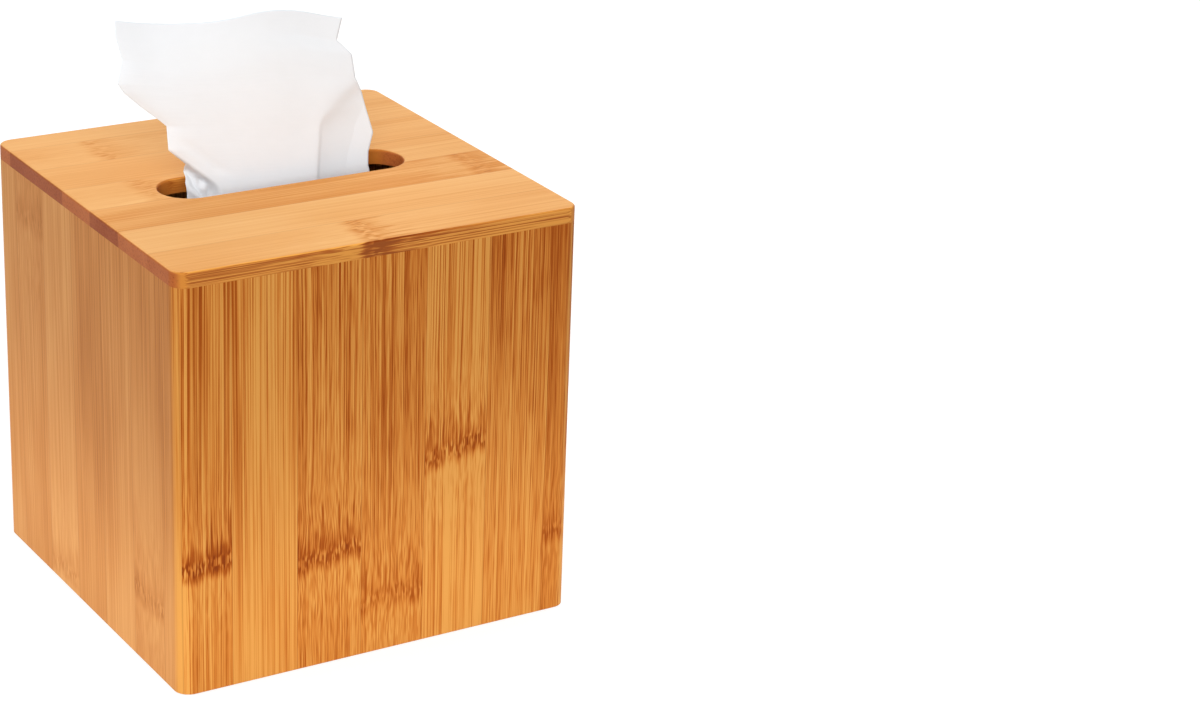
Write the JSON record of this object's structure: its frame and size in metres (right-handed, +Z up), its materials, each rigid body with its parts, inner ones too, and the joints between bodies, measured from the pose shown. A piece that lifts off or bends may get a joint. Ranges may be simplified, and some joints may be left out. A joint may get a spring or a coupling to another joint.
{
  "type": "tissue box cover",
  "caption": "Cube tissue box cover of edge-glued bamboo laths, with a round-ended slot in the top, a slide-out base and a tissue standing in the slot.",
  "frame": {"origin": "middle of the footprint, on the surface that the cover stands on", "axes": "+Z up, front wall facing -Y, long way of the slot along X, base slides out towards +Y"},
  "size_m": [0.14, 0.14, 0.1939],
  "materials": {
    "front_bamboo": "sanded bamboo under a thin clear satin lacquer",
    "back_bamboo": "sanded bamboo under a thin clear satin lacquer",
    "side_bamboo": "sanded bamboo under a thin clear satin lacquer",
    "top_bamboo": "sanded bamboo under a thin clear satin lacquer",
    "base_bamboo": "sanded bamboo under a thin clear satin lacquer",
    "tissue_paper": "soft matte creped tissue paper"
  },
  "bodies": {
    "cover": {"back_lath_1": "back_bamboo", "back_lath_2": "back_bamboo", "back_lath_3": "back_bamboo", "back_lath_4": "back_bamboo", "back_lath_5": "back_bamboo", "back_lath_6": "back_bamboo", "back_lath_7": "back_bamboo", "front_lath_1": "front_bamboo", "front_lath_2": "front_bamboo", "front_lath_3": "front_bamboo", "front_lath_4": "front_bamboo", "front_lath_5": "front_bamboo", "front_lath_6": "front_bamboo", "front_lath_7": "front_bamboo", "left_lath_1": "side_bamboo", "left_lath_2": "side_bamboo", "left_lath_3": "side_bamboo", "left_lath_4": "side_bamboo", "left_lath_5": "side_bamboo", "left_lath_6": "side_bamboo", "left_lath_7": "side_bamboo", "right_lath_1": "side_bamboo", "right_lath_2": "side_bamboo", "right_lath_3": "side_bamboo", "right_lath_4": "side_bamboo", "right_lath_5": "side_bamboo", "right_lath_6": "side_bamboo", "right_lath_7": "side_bamboo", "tissue_pack": "tissue_paper", "top_lath_1": "top_bamboo", "top_lath_2": "top_bamboo", "top_lath_3": "top_bamboo", "top_lath_4": "top_bamboo", "top_lath_5": "top_bamboo", "top_lath_6": "top_bamboo", "top_lath_7": "top_bamboo"},
    "base": {"base_lath_1": "base_bamboo", "base_lath_2": "base_bamboo", "base_lath_3": "base_bamboo", "base_lath_4": "base_bamboo", "base_lath_5": "base_bamboo", "base_lath_6": "base_bamboo", "base_lath_7": "base_bamboo"},
    "tissue": {"tissue": "tissue_paper"}
  },
  "joints": [
    {"name": "base_slide", "type": "slide", "parent": "cover", "child": "base", "axis": [0, 1, 0], "range_m": [0, 0.14]},
    {"name": "tissue_pull", "type": "slide", "parent": "cover", "child": "tissue", "axis": [0, 0, 1], "range_m": [0, 0.1]}
  ]
}
